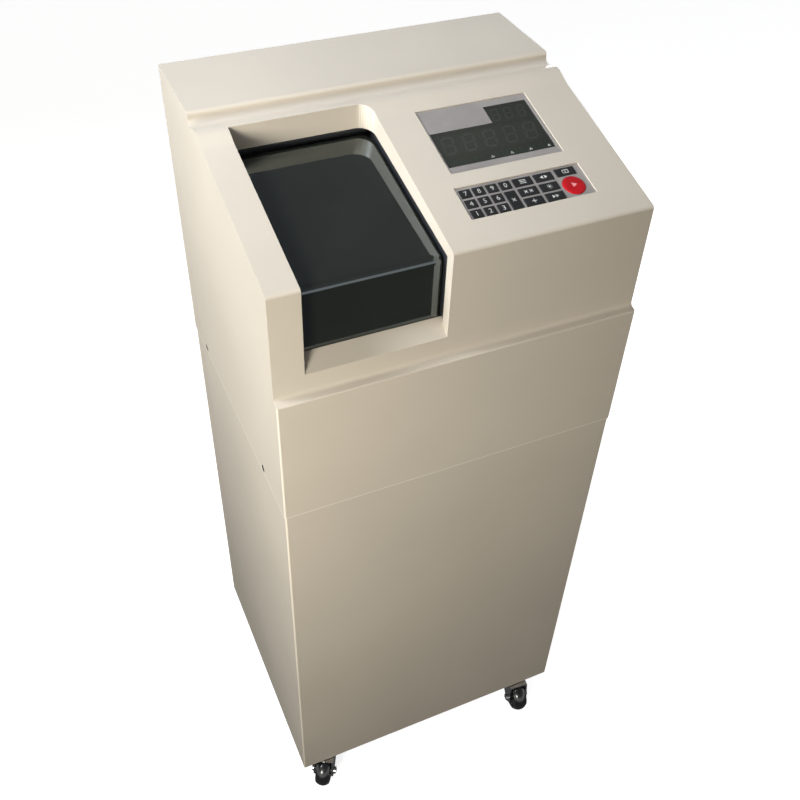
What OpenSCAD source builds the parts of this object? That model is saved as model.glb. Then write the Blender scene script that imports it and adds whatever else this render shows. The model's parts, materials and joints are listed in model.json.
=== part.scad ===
// Floor-standing banknote bundle counter: a sheet-steel cabinet on four swivel
// casters, with a moulded head that holds the counting bay, display and keypad.
// Millimetres. +Z is up, the front faces -Y, and the origin is on the floor at
// the centre of the whole outline.

/* [Cabinet and casing] */
// Width across the head casing
body_w = 420; // [416:1:430]
// Depth of the head casing, front to back
body_d = 362; // [360:1:372]
// Height of the steel cabinet
cabinet_h = 583; // [520:1:620]
// Height of the cabinet's bottom edge above the floor
skirt_gap = 57; // [57:0.5:59]
// Wall of the moulded head casing
casing_wall = 3; // [2.5:0.5:3]
// Thickness of the cabinet's sheet steel
sheet = 1.5; // [1.2:0.1:1.5]
// Height of the front band, from the seam to its ledge
band_h = 166; // [150:1:170]
// Height of the slope's front edge above the seam
brow_h = 295; // [293:1:297]
// Angle of the operating slope
slope_deg = 14.8; // [14.5:0.1:15]

/* [Counting bay] */
// Left side of the bay opening, from the centre line
bay_left = -176; // [-178:1:-174]
// Right side of the bay opening, from the centre line
bay_right = -21; // [-23:1:-20]
// Rear wall of the bay opening, from the casing's front plane
bay_rear = 218; // [217:0.5:219]
// Thickness of the smoked cover
cover_t = 4; // [3:0.5:4]

/* [Keypad] */
// Width of a digit key
key_w = 12.3; // [11.8:0.1:12.4]
// Width of a function key
wide_key_w = 21.3; // [20.5:0.1:21.4]
// Height of a key
key_h = 10.9; // [10:0.1:11]
// Spring travel of a key
key_travel = 0.5; // [0.3:0.1:0.6]

/* [Counting turret] */
// Number of suction spindles
spindles = 4; // [4]
// Radius of the circle on which the spindles stand
spindle_pcr = 24; // [23:0.5:25]
// Radius of a spindle
spindle_r = 6.5; // [6:0.5:7]

/* [Casters] */
// Radius of a caster wheel
wheel_r = 25; // [24.5:0.5:25]
// Width of a caster wheel
wheel_w = 21; // [19:1:21]
// Distance from the swivel axis to the axle
trail = 32; // [30:1:33]
// Distance of the swivel axes from the cabinet's front, back and side outlines
caster_inset_y = 31; // [31:1:34]
caster_inset_x = 50; // [48:1:52]
// Angle each wheel stands at rest: front left, front right, rear left, rear right
caster_turn = [32, 5, 9, -14]; // [-30:1:30]

/* [Hidden] */
$fn = 48;

ivory = [0.85, 0.81, 0.74];
steel = [0.72, 0.73, 0.75];
black = [0.08, 0.08, 0.09];
smoke = [0.10, 0.12, 0.13];
board_green = [0.10, 0.35, 0.20];

// How far the front wheels stand out in front of the casing
crown_r = 14;
function wheel_reach(a) = (trail + wheel_r - crown_r) * cos(a) + crown_r - caster_inset_y;
reach = max(wheel_reach(caster_turn[0]), wheel_reach(caster_turn[1]));
front_y = -(body_d - reach) / 2;

seam_h = 2;
head_z = skirt_gap + cabinet_h + seam_h;
cabinet_in = 1;
deck_in = 0.2;
edge_r = 2;
cabinet_edge_r = 2;
ease_steps = 8;

// The head casing's side outline, in (y, z) from its lower front edge
face_y = 9.5;
ledge_r = 5;
ledge_rise = 0.8;
bead_y = 196;
crest = [221, brow_h + 58.3];
groove = [240.5, brow_h + 54.3];
deck_front = [250.5, brow_h + 66];
deck_rise = 1.5;
brow_r = 4.5;

function line_z(y) = brow_h + (y - face_y) * tan(slope_deg);
function arc(c, r, a0, a1, n) = [for (i = [0:n]) let (a = a0 + (a1 - a0) * i / n) c + r * [cos(a), sin(a)]];
// A curve from p to q that leaves with slope sp and arrives with slope sq
function ease(p, q, sp, sq) = let (w = q[0] - p[0]) [
  for (i = [0:ease_steps]) let (t = i / ease_steps)
    [p[0] + w * t,
     (2*t*t*t - 3*t*t + 1) * p[1] + (t*t*t - 2*t*t + t) * w * sp
     + (3*t*t - 2*t*t*t) * q[1] + (t*t*t - t*t) * w * sq]];

casing_outline = concat(
  [[0, 0]],
  arc([edge_r, band_h - edge_r], edge_r, 180, 90, 4),
  arc([face_y - ledge_r, band_h + ledge_rise + ledge_r], ledge_r, -90, 0, 5),
  arc([face_y + brow_r, line_z(face_y + brow_r) - brow_r / cos(slope_deg)], brow_r, 180, 90 + slope_deg, 5),
  ease([bead_y, line_z(bead_y)], crest, tan(slope_deg), 0),
  ease(crest, groove, 0, 0),
  arc([groove[0], groove[1] + 6], 6, -75, 0, 5),
  arc([deck_front[0], deck_front[1] - 4], 4, 180, 90, 5),
  [[body_d, deck_front[1] + deck_rise], [body_d, 0]]);

cavity_outline = [
  [casing_wall, -1], [casing_wall, band_h - casing_wall - 1],
  [face_y + casing_wall, band_h - casing_wall + 2],
  [face_y + casing_wall, line_z(face_y + casing_wall) - casing_wall / cos(slope_deg)],
  [bead_y + 4, line_z(bead_y + 4) - casing_wall / cos(slope_deg)],
  [groove[0] + 2, groove[1] - casing_wall], [deck_front[0] + 3, groove[1] - casing_wall],
  [deck_front[0] + 3, deck_front[1] - casing_wall],
  [body_d - casing_wall, deck_front[1] + deck_rise - casing_wall], [body_d - casing_wall, -1]];

// The inner lip of the bay opening: upright in front, then sloping to the back
lip_y = 22;
lip_low = 198;
lip_bend = 284;
lip_deg = 12.1;
function lip_z(y) = lip_bend + (y - lip_y) * tan(lip_deg);
sill_front = [face_y, 192];
sill_rear = [29, 205];
bay_corner_r = 17;

// The cover lies a little inside the lip
cover_face_y = 29;
cover_drop = 7.2;
cover_gap = 1.2;
cover_rear = bay_rear - 2;
cover_bend_r = 5;
function cover_z(y) = lip_z(y) - cover_drop;
cover_rad = cover_t + cover_bend_r;
hinge_y = 209;
hinge_z = 307;
hinge_pin_r = 2;
run_fit = 0.05;

// The liner under the lip
liner_t = 2;
liner_left = bay_left - 1.5;
liner_right = bay_right + 1.5;
liner_rear = 225;
bay_floor = 201;

// The slope's panels, in (x, distance up the slope)
display_at = [21.2, 98.5];
display_size = [132.8, 94.5];
window_at = [23.3, 108];
window_size = [126.7, 50.5];
window_top_at = [98, 158.5];
window_top_size = [52, 25];
keypad_at = [15, 35.5];
keypad_size = [145.5, 43.8];
display_sink = 1.2;
keypad_sink = 1.5;
plate_bottom = 3;
key_top = 0.6;
key_flange = 0.7;
key_gap = 0.2;
board_depth = 8;
button_r = 12.8;
button_at = [126.6, 16];
digit_col = 15.1;
digit_x0 = 3.2;
wide_x0 = 64.2;
wide_col = 24.8;
row_y = [1.4, 15.2, 29.2];

// Every rectangular key: name, x, y, width and height on the keypad plate
key_list = [
  ["key_7", digit_x0, row_y[2], key_w, key_h], ["key_8", digit_x0 + digit_col, row_y[2], key_w, key_h],
  ["key_9", digit_x0 + 2 * digit_col, row_y[2], key_w, key_h],
  ["key_0", digit_x0 + 3 * digit_col, row_y[2], key_w, key_h],
  ["key_batch", wide_x0, row_y[2], wide_key_w, key_h],
  ["key_mode", wide_x0 + wide_col, row_y[2], wide_key_w, key_h],
  ["key_preset", wide_x0 + 2 * wide_col + 1, row_y[2] + 1.4, wide_key_w + 1.5, key_h - 0.2],
  ["key_4", digit_x0, row_y[1], key_w, key_h], ["key_5", digit_x0 + digit_col, row_y[1], key_w, key_h],
  ["key_6", digit_x0 + 2 * digit_col, row_y[1], key_w, key_h],
  ["key_clear", digit_x0 + 3 * digit_col, row_y[0], key_w, row_y[1] - row_y[0] + key_h],
  ["key_all_clear", wide_x0, row_y[1], wide_key_w, key_h],
  ["key_uv", wide_x0 + wide_col, row_y[1], wide_key_w, key_h],
  ["key_1", digit_x0, row_y[0], key_w, key_h], ["key_2", digit_x0 + digit_col, row_y[0], key_w, key_h],
  ["key_3", digit_x0 + 2 * digit_col, row_y[0], key_w, key_h],
  ["key_add", wide_x0, row_y[0], wide_key_w, key_h],
  ["key_speed", wide_x0 + wide_col, row_y[0], wide_key_w, key_h]];
function key_row(name) = [for (k = key_list) if (k[0] == name) k][0];

// The counting mechanism, in (x, y) and heights above the seam
turret_at = [-129, 78];
turret_low = 206;
turret_top = 262;
disc_r = 34;
disc_t = 7;
journal_r = 2.5;
shaft_r = 6;
motor_at = [-60, 122];
motor_shaft_r = 4;
turret_pulley_r = 22;
motor_pulley_r = 11;
pulley_z = 168;
pulley_t = 10;
belt_t = 1.5;
belt_gap = 0.3;
bracket_z = 158;
bracket_t = 3;
rib_x = -94;
clamp_open_x = -60;
clamp_y = [168, 206];
clamp_rod_r = 4;
clamp_rod_z = 240;

// Cabinet internals, heights above the cabinet's bottom edge
pan_z = 5;
pan_t = 2;
inlet_at = [120, 70];
switch_at = [88, 70];
rocker_in = 6;

// Caster heights above the floor
race_z = skirt_gap;
plate_top = skirt_gap + pan_z;
fork_top = skirt_gap - 0.3;
crown_z = 52;
king_r = 5;
axle_r = 3;
leg_in = 12.5;
leg_t = 2.5;
caster_size = 53;

function caster_xy(i) = [
  (i % 2 == 0 ? -1 : 1) * (body_w / 2 - caster_inset_x),
  i < 2 ? front_y + caster_inset_y : front_y + body_d - caster_inset_y];

// ---- shared shapes ----

module at_cabinet() {
  translate([0, front_y, skirt_gap]) children();
}

module at_head() {
  translate([0, front_y, head_z]) children();
}

// Stands a (y, z) outline up and runs it along x from x0 to x1
module along_x(x0, x1) {
  translate([x0, 0, 0])
    rotate([90, 0, 90])
      linear_extrude(x1 - x0) children();
}

module round_rect(x, y, w, d, r) {
  translate([x + r, y]) square([w - 2 * r, d]);
  translate([x, y + r]) square([w, d - 2 * r]);
  for (px = [x + r, x + w - r], py = [y + r, y + d - r])
    translate([px, py]) circle(r);
}

// Plan of the bay with its one round corner, grown by g
module bay_plan(g) {
  r = bay_corner_r + g;
  x0 = bay_left - g;
  x1 = bay_right + g;
  y1 = bay_rear + g;
  translate([x0, -10]) square([x1 - x0 - r, y1 + 10]);
  translate([x0, -10]) square([x1 - x0, y1 + 10 - r]);
  translate([x1 - r, y1 - r]) circle(r);
}

module on_slope() {
  translate([0, face_y, brow_h]) rotate([slope_deg, 0, 0]) children();
}

// A box on the slope from depth d0 down to depth d1, grown by g all round
module slope_block(at, size, g, d0, d1) {
  translate([at[0] - g, at[1] - g, -d1]) cube([size[0] + 2 * g, size[1] + 2 * g, d1 - d0]);
}

module slope_window(g, d0, d1) {
  slope_block(window_at, window_size, g, d0, d1);
  slope_block([window_top_at[0], window_top_at[1] - 1], [window_top_size[0], window_top_size[1] + 1], g, d0, d1);
}

// ---- cabinet ----

module cabinet_plan(g) {
  round_rect(-body_w / 2 + cabinet_in + g, cabinet_in + g, body_w - 2 * cabinet_in - 2 * g,
             body_d - 2 * cabinet_in - 2 * g, cabinet_edge_r);
}

// The rear panel's screws, on the panel's outer face
module rear_screw_places() {
  for (side = [-1, 1], z = [30, cabinet_h / 2, cabinet_h - 30])
    translate([side * (body_w / 2 - 15), body_d - cabinet_in, z]) rotate([-90, 0, 0]) children();
}

module cabinet_shell() {
  front_fold = 8;
  inner_w = body_w - 2 * cabinet_in - 2 * sheet;
  back = body_d - cabinet_in;
  color(ivory) at_cabinet() {
    difference() {
      linear_extrude(cabinet_h) difference() {
        cabinet_plan(0);
        translate([-inner_w / 2, cabinet_in + sheet]) square([inner_w, body_d]);
      }
    }
    difference() {
      for (side = [-1, 1])
        translate([side > 0 ? inner_w / 2 - 24 : -inner_w / 2, back - 2 * sheet - 0.2, 0])
          cube([24, sheet, cabinet_h]);
      rear_screw_places() translate([0, 0, -12]) cylinder(h = 20, r = 2.1);
    }
    translate([-inner_w / 2, cabinet_in + sheet, cabinet_h - sheet]) cube([inner_w, 18, sheet]);
    translate([-inner_w / 2, cabinet_in + sheet, 0]) cube([inner_w, front_fold, sheet]);
  }
}

module base_pan() {
  w = body_w - 2 * cabinet_in - 2 * sheet - 0.6;
  y0 = cabinet_in + sheet + 0.3;
  d = body_d - cabinet_in - 2 * sheet - 0.5 - y0;
  color(steel) at_cabinet() difference() {
    translate([-w / 2, y0, pan_z]) cube([w, d, 22]);
    translate([-w / 2 + pan_t, y0 + pan_t, pan_z + pan_t]) cube([w - 2 * pan_t, d - 2 * pan_t, 30]);
  }
}

module rear_panel() {
  w = body_w - 2 * cabinet_in - 2 * sheet - 0.6;
  back = body_d - cabinet_in;
  slot_w = 60;
  color(ivory) at_cabinet() difference() {
    translate([-w / 2, back - sheet, 1]) cube([w, sheet, cabinet_h - 2]);
    for (col = [-1, 0, 1], row = [0:7])
      translate([col * 80 - slot_w / 2, back - 5, 380 + row * 14]) cube([slot_w, 10, 5]);
    translate([inlet_at[0] - 15, back - 5, inlet_at[1] - 11.5]) cube([30, 10, 23]);
    translate([switch_at[0] - 10.5, back - 5, switch_at[1] - 14]) cube([21, 10, 28]);
    rear_screw_places() translate([0, 0, -12]) cylinder(h = 20, r = 2.1);
  }
}

module deck_frame() {
  tab_t = 3;
  color(ivory) {
    at_cabinet() translate([0, 0, cabinet_h]) difference() {
      linear_extrude(seam_h)
        round_rect(-body_w / 2 + deck_in, deck_in, body_w - 2 * deck_in, body_d - 2 * deck_in, cabinet_edge_r);
      translate([-150, 60, -1]) cube([300, 230, 10]);
    }
    at_head() difference() {
      side_screw_places() translate([-6, -10, -casing_wall - tab_t - 0.5]) cube([12, 20, tab_t]);
      side_screw_places() translate([0, 0, -12]) cylinder(h = 10, r = 2.1);
    }
  }
}

// ---- head ----

module casing_solid() {
  intersection() {
    along_x(-body_w / 2, body_w / 2) polygon(casing_outline);
    linear_extrude(600) round_rect(-body_w / 2, 0, body_w, body_d, edge_r);
  }
}

// The upright walls round the bay opening, from the casing's skin down to the lip
module bay_walls() {
  skin = 1;
  intersection() {
    along_x(bay_left - casing_wall, bay_right + casing_wall)
      polygon([
        [face_y + skin, lip_low - 8], [lip_y, lip_low], [lip_y, lip_bend],
        [bay_rear + casing_wall, lip_z(bay_rear + casing_wall)], [bay_rear + casing_wall, crest[1] - skin],
        [bead_y, line_z(bead_y) - skin], [face_y + skin, brow_h - 2 * skin]]);
    linear_extrude(600) bay_plan(casing_wall);
  }
  along_x(bay_left - casing_wall, bay_right + casing_wall)
    polygon([
      sill_front, sill_rear, [sill_rear[0], sill_rear[1] - 2.6],
      [sill_front[0] + casing_wall, sill_front[1] - 2.6], [sill_front[0], sill_front[1] - 2.6]]);
}

module bay_cut() {
  fall = (sill_rear[1] - sill_front[1]) / (sill_rear[0] - sill_front[0]);
  ahead = 5;
  intersection() {
    along_x(bay_left - 1, bay_right + 1)
      polygon([
        [-ahead, sill_front[1] - fall * (sill_front[0] + ahead)], sill_rear,
        [sill_rear[0], 100], [300, 100], [300, 500], [-ahead, 500]]);
    linear_extrude(600) bay_plan(0);
  }
}

screw_z = 6;
screw_head_r = 4.4;

module side_screw_places() {
  for (side = [-1, 1], y = [75, 304])
    translate([side * body_w / 2, y, screw_z]) rotate([0, side * 90, 0]) children();
}

module head_casing() {
  color(ivory) at_head() difference() {
    union() {
      difference() {
        casing_solid();
        along_x(-body_w / 2 + casing_wall, body_w / 2 - casing_wall) polygon(cavity_outline);
      }
      bay_walls();
    }
    bay_cut();
    on_slope() {
      slope_block(display_at, display_size, 0, -5, 5);
      slope_block(keypad_at, keypad_size, 0, -5, 5);
    }
    side_screw_places() {
      translate([0, 0, -1]) cylinder(h = 5, r = screw_head_r + 0.4);
      translate([0, 0, -10]) cylinder(h = 20, r = 2.1);
    }
  }
}

module casing_screws() {
  color(black) at_head() side_screw_places() {
    translate([0, 0, -1]) cylinder(h = 0.9, r = screw_head_r);
    translate([0, 0, -11]) cylinder(h = 10.5, r = 2);
  }
  color(black) at_cabinet() rear_screw_places() {
    cylinder(h = 0.9, r = 4);
    translate([0, 0, -8]) cylinder(h = 8.5, r = 1.9);
  }
}

// ---- display and keypad ----

module display_plate() {
  fit = -0.15;
  color(steel) at_head() on_slope() difference() {
    union() {
      slope_block(display_at, display_size, fit, display_sink, plate_bottom + 1);
      slope_block(display_at, display_size, 2.5, plate_bottom + 0.1, plate_bottom + 1.5);
    }
    slope_window(0, -5, 10);
  }
}

module display_window() {
  color(smoke) at_head() on_slope() slope_window(-0.1, display_sink + 0.05, 3.4);
}

module led_digits() {
  color(black) at_head() on_slope() {
    for (i = [0:4])
      slope_block([window_at[0] + 3 + i * 24.4, window_at[1] + 17], [23.2, 30], 0, 3.6, board_depth);
    for (i = [0:2])
      slope_block([window_top_at[0] + 2.5 + i * 15.8, window_top_at[1] + 2], [15, 21], 0, 3.6, board_depth);
  }
}

module panel_board() {
  color(board_green) at_head() on_slope() {
    slope_block([12, 34], [152, 158], 0, board_depth, board_depth + 1.6);
    for (k = key_list)
      translate([keypad_at[0] + k[1] + k[3] / 2, keypad_at[1] + k[2] + k[4] / 2, -board_depth - 0.5])
        cylinder(h = 3, r = 2.5);
    translate([keypad_at[0] + button_at[0], keypad_at[1] + button_at[1], -board_depth - 0.5])
      cylinder(h = 3, r = 2.5);
  }
}

module keypad_plate() {
  at = keypad_at;
  rim = -0.6;
  color(steel) at_head() on_slope() difference() {
    union() {
      slope_block(at, keypad_size, -0.15, keypad_sink, plate_bottom);
      difference() {
        union() {
          slope_block(at, keypad_size, -0.15, plate_bottom - 0.1, plate_bottom + 1.5);
          slope_block(at, keypad_size, 2.5, plate_bottom + 0.1, plate_bottom + 1.5);
        }
        slope_block(at, keypad_size, rim, plate_bottom, plate_bottom + 3);
      }
    }
    for (k = key_list)
      slope_block([at[0] + k[1], at[1] + k[2]], [k[3], k[4]], key_gap, -1, plate_bottom + 1);
    translate([at[0] + button_at[0], at[1] + button_at[1], -plate_bottom - 1])
      cylinder(h = 5, r = button_r + key_gap);
  }
}

module key_cap(name) {
  k = key_row(name);
  at = [keypad_at[0] + k[1], keypad_at[1] + k[2]];
  color(black) at_head() on_slope() {
    slope_block(at, [k[3], k[4]], 0, key_top, plate_bottom + 0.6);
    slope_block(at, [k[3], k[4]], key_flange, plate_bottom + 0.1, plate_bottom + 1);
  }
}

module start_button() {
  color("red") at_head() on_slope()
    translate([keypad_at[0] + button_at[0], keypad_at[1] + button_at[1], 0]) {
      translate([0, 0, -plate_bottom - 0.6]) cylinder(h = plate_bottom + 0.4, r = button_r);
      translate([0, 0, -plate_bottom - 1]) cylinder(h = 0.9, r = button_r + 0.6);
    }
}

// ---- counting bay ----

module bay_liner() {
  front = 30;
  top_gap = 0.2;
  side_outline = [
    [lip_y + top_gap, 202], [front, 207], [front, bay_floor - liner_t],
    [liner_rear + liner_t, bay_floor - liner_t], [liner_rear + liner_t, lip_z(bay_rear) - 1],
    [bay_rear, lip_z(bay_rear) - 1], [lip_y + top_gap, lip_z(lip_y) - 1]];
  color(black) at_head() difference() {
    union() {
      along_x(liner_left - liner_t, liner_left) polygon(side_outline);
      along_x(liner_right, liner_right + liner_t) polygon(side_outline);
      translate([liner_left - 1, front, bay_floor - liner_t])
        cube([liner_right - liner_left + 2, liner_rear - front + 1, liner_t]);
      translate([liner_left - 1, liner_rear, bay_floor - liner_t])
        cube([liner_right - liner_left + 2, liner_t, lip_z(bay_rear) - bay_floor + liner_t - 1]);
      translate([liner_left - 1, bay_rear + 0.5, lip_z(bay_rear) - 2.5])
        cube([liner_right - liner_left + 2, liner_rear - bay_rear + 1, 1.5]);
      translate([liner_left - 1, front, bay_floor - liner_t])
        cube([liner_right - liner_left + 2, liner_t, sill_rear[1] - bay_floor + liner_t - 0.8]);
      translate([turret_at[0], turret_at[1], 186]) cylinder(h = 15, r = 12);
      translate([rib_x - 3, 128, bay_floor - 1]) cube([3, 80, 72]);
      translate([liner_right - 1, 187, clamp_rod_z]) rotate([0, 90, 0]) cylinder(h = 15, r = 9);
    }
    translate([turret_at[0], turret_at[1], 180]) cylinder(h = 30, r = shaft_r + run_fit);
    translate([liner_right - 5, 187, clamp_rod_z]) rotate([0, 90, 0])
      cylinder(h = 30, r = clamp_rod_r + run_fit);
    translate([-200, hinge_y, hinge_z]) rotate([0, 90, 0]) cylinder(h = 200, r = hinge_pin_r + run_fit);
  }
}

// Outline of the bent cover sheet in (y, z)
function cover_side(y0, drop, r) = concat(
  [[y0, sill_rear[1] + 0.5]],
  arc([y0 + r, cover_z(y0 + r) - drop / cos(lip_deg) - r / cos(lip_deg)], r, 180, 90 + lip_deg, 5),
  [[cover_rear, cover_z(cover_rear) - drop / cos(lip_deg)]]);

module cover() {
  outer = cover_side(cover_face_y, 0, cover_rad);
  inner = cover_side(cover_face_y + cover_t, cover_t, cover_bend_r);
  color(smoke) at_head() intersection() {
    along_x(bay_left + cover_gap, bay_right - cover_gap)
      polygon(concat(outer, [for (i = [len(inner) - 1:-1:0]) inner[i]]));
    linear_extrude(600) bay_plan(-cover_gap);
  }
}

module cover_bracket() {
  under = cover_t / cos(lip_deg) + 0.05;
  y0 = 186;
  y1 = 212;
  t = 1.8;
  knuckle = 14;
  x0 = bay_left + 6;
  x1 = bay_right - 22;
  strip = [
    [y0, cover_z(y0) - under], [y1, cover_z(y1) - under],
    [y1, cover_z(y1) - under - t], [y0, cover_z(y0) - under - t]];
  color(black) at_head() difference() {
    union() {
      along_x(x0, x1) polygon(strip);
      for (x = [x0, x1 - knuckle])
        along_x(x, x + knuckle) {
          translate([hinge_y, hinge_z]) circle(4.2);
          polygon([
            [hinge_y - 4.2, hinge_z], [hinge_y + 2.5, hinge_z],
            [hinge_y + 2.5, cover_z(hinge_y) - under - t + 0.3],
            [hinge_y - 8, cover_z(hinge_y - 8) - under - t + 0.3]]);
        }
    }
    translate([-200, hinge_y, hinge_z]) rotate([0, 90, 0]) cylinder(h = 200, r = hinge_pin_r + run_fit);
  }
}

module cover_pin() {
  color(steel) at_head() translate([liner_left - liner_t, hinge_y, hinge_z]) rotate([0, 90, 0])
    cylinder(h = liner_right - liner_left + 2 * liner_t, r = hinge_pin_r);
}

module on_turret() {
  translate([turret_at[0], turret_at[1], 0]) children();
}

module spindle_places() {
  for (i = [0:spindles - 1])
    rotate([0, 0, 45 + i * 360 / spindles]) translate([spindle_pcr, 0, 0]) children();
}

module turret() {
  color(steel) at_head() on_turret() difference() {
    union() {
      translate([0, 0, turret_low]) cylinder(h = disc_t, r = disc_r);
      translate([0, 0, turret_low]) cylinder(h = turret_top - turret_low + 1, r = 10);
      translate([0, 0, turret_top]) cylinder(h = disc_t - 2, r = disc_r);
      translate([0, 0, bracket_z]) cylinder(h = turret_low - bracket_z + 1, r = shaft_r);
    }
    spindle_places() translate([0, 0, turret_low - 1]) cylinder(h = 100, r = journal_r + run_fit);
    translate([0, 0, bracket_z - 1]) cylinder(h = 60, r = 2.5);
  }
}

module spindle(i) {
  low = turret_low + disc_t + 0.3;
  high = turret_top - 0.3;
  color(black) at_head() on_turret()
    rotate([0, 0, 45 + i * 360 / spindles]) translate([spindle_pcr, 0, 0]) difference() {
      union() {
        translate([0, 0, low]) cylinder(h = high - low, r = spindle_r);
        translate([0, 0, low - 5]) cylinder(h = high - low + 9, r = journal_r);
      }
      translate([0, 0, low - 10]) cylinder(h = 100, r = 1.4);
      for (z = [10, 24, 38])
        translate([0, 0, low + z]) rotate([0, 90, 0]) cylinder(h = 20, r = 2);
    }
}

module note_clamp() {
  jaw_t = 3;
  color(steel) at_head() {
    translate([clamp_open_x, clamp_y[0], bay_floor + 3]) cube([jaw_t, clamp_y[1] - clamp_y[0], 68]);
    translate([clamp_open_x + 1, 187, clamp_rod_z]) rotate([0, 90, 0]) cylinder(h = 84, r = clamp_rod_r);
    translate([clamp_open_x + 85, 187, clamp_rod_z]) rotate([0, 90, 0]) cylinder(h = 3, r = 8);
  }
}

// ---- drive ----

module pulley(at, r, bore) {
  translate([at[0], at[1], pulley_z]) difference() {
    union() {
      cylinder(h = pulley_t, r = r);
      cylinder(h = 1.2, r = r + 2);
      translate([0, 0, pulley_t - 1.2]) cylinder(h = 1.2, r = r + 2);
    }
    translate([0, 0, -1]) cylinder(h = pulley_t + 2, r = bore);
  }
}

module turret_pulley() {
  color(steel) at_head() pulley(turret_at, turret_pulley_r, shaft_r);
}

module motor_pulley() {
  color(steel) at_head() {
    pulley(motor_at, motor_pulley_r, motor_shaft_r - 1);
    translate([motor_at[0], motor_at[1], bracket_z - 10])
      cylinder(h = pulley_z + pulley_t - bracket_z + 10, r = motor_shaft_r);
  }
}

// Flat outline round both pulleys, g outside their rims
module belt_outline(g) {
  span = motor_at - turret_at;
  a = atan2(span[1], span[0]);
  b = acos((turret_pulley_r - motor_pulley_r) / norm(span));
  polygon(concat(
    arc(turret_at, turret_pulley_r + g, a + b, a + 360 - b, 40),
    arc(motor_at, motor_pulley_r + g, a - b, a + b, 20)));
}

module drive_belt() {
  color(black) at_head() translate([0, 0, pulley_z + 1.6]) linear_extrude(pulley_t - 3.2) difference() {
    belt_outline(belt_gap + belt_t);
    belt_outline(belt_gap);
  }
}

module drive_bracket() {
  color(steel) at_head() difference() {
    union() {
      translate([-172, 44, bracket_z]) cube([152, 114, bracket_t]);
      for (x = [-168, -28], y = [50, 150])
        translate([x, y, bracket_z]) cylinder(h = bay_floor - liner_t - bracket_z, r = 5);
    }
    translate([turret_at[0], turret_at[1], bracket_z - 1]) cylinder(h = 10, r = shaft_r + run_fit);
    translate([motor_at[0], motor_at[1], bracket_z - 1]) cylinder(h = 10, r = 9);
  }
}

module drive_motor() {
  color(steel) at_head() translate([motor_at[0], motor_at[1], 0]) difference() {
    union() {
      translate([0, 0, 82]) cylinder(h = bracket_z - 82, r = 31);
      translate([0, 0, 70]) cylinder(h = 13, r = 12);
    }
    translate([0, 0, bracket_z - 20]) cylinder(h = 30, r = motor_shaft_r + run_fit);
  }
}

// ---- cabinet internals ----

pump_at = [-80, 200];
pump_r = 46;

module vacuum_pump() {
  z = pan_z + pan_t;
  color(steel) at_cabinet() {
    translate([pump_at[0] - 75, pump_at[1], z + 20 + pump_r]) rotate([0, 90, 0]) cylinder(h = 150, r = pump_r);
    translate([pump_at[0] + 74, pump_at[1], z + 20 + pump_r]) rotate([0, 90, 0]) cylinder(h = 46, r = pump_r - 6);
    translate([pump_at[0] - 60, pump_at[1] - 40, z + 12]) cube([120, 80, 20]);
    translate([pump_at[0] + 96, pump_at[1], z + 20 + 2 * pump_r - 10]) cylinder(h = 24, r = 6);
    for (x = [-48, 48], y = [-28, 28])
      translate([pump_at[0] + x, pump_at[1] + y, z]) cylinder(h = 13, r = 9);
  }
}

// Route of the suction hose from the pump up to the turret's shaft, in cabinet heights
hose_start = [pump_at[0] + 96, pump_at[1], pan_z + pan_t + 20 + 2 * pump_r + 14];
hose_end = [turret_at[0], turret_at[1], cabinet_h + seam_h + bracket_z - 1];
hose_r = 5.5;
hose_steps = 28;
function hose_at(t) = let (s = t * t * (3 - 2 * t)) [
  hose_start[0] + (hose_end[0] - hose_start[0]) * s,
  hose_start[1] + (hose_end[1] - hose_start[1]) * s,
  hose_start[2] + (hose_end[2] - hose_start[2]) * t];

module vacuum_hose() {
  sides = 10;
  rings = [for (i = [0:hose_steps]) hose_at(i / hose_steps)];
  points = [for (p = rings, k = [0:sides - 1]) p + hose_r * [cos(k * 360 / sides), sin(k * 360 / sides), 0]];
  ring_faces = [
    for (i = [0:hose_steps - 1], k = [0:sides - 1])
      let (a = i * sides + k, b = i * sides + (k + 1) % sides) [a, a + sides, b + sides, b]];
  foot = [for (k = [0:sides - 1]) k];
  head = [for (k = [sides - 1:-1:0]) hose_steps * sides + k];
  color(black) at_cabinet() polyhedron(points, concat([foot, head], ring_faces));
}

module control_board() {
  x = -body_w / 2 + cabinet_in + sheet + 12;
  color(board_green) at_cabinet() {
    translate([x, 60, 300]) cube([1.6, 200, 150]);
    for (y = [70, 250], z = [310, 440])
      translate([x - 12, y, z]) rotate([0, 90, 0]) cylinder(h = 12.5, r = 3.5);
    translate([x + 1, 90, 330]) cube([14, 60, 30]);
    translate([x + 1, 170, 380]) cube([20, 40, 40]);
  }
}

module power_supply() {
  color(steel) at_cabinet() translate([60, 60, pan_z + pan_t]) {
    cube([110, 90, 70]);
    translate([20, 20, 69]) cube([70, 50, 16]);
  }
}

// A moulded box with an open pocket and a flange that rests on the rear panel
module panel_box(at, size, pocket, depth, flange_left, flange_right) {
  back = body_d - cabinet_in;
  deep = 24;
  flange_h = 34;
  flange_t = 0.95;
  difference() {
    union() {
      translate([at[0] - size[0] / 2, back - deep, at[1] - size[1] / 2]) cube([size[0], deep, size[1]]);
      translate([flange_left, back, at[1] - flange_h / 2])
        cube([flange_right - flange_left, flange_t, flange_h]);
    }
    translate([at[0] - pocket[0] / 2, back - depth, at[1] - pocket[1] / 2])
      cube([pocket[0], depth + 10, pocket[1]]);
  }
}

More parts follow.
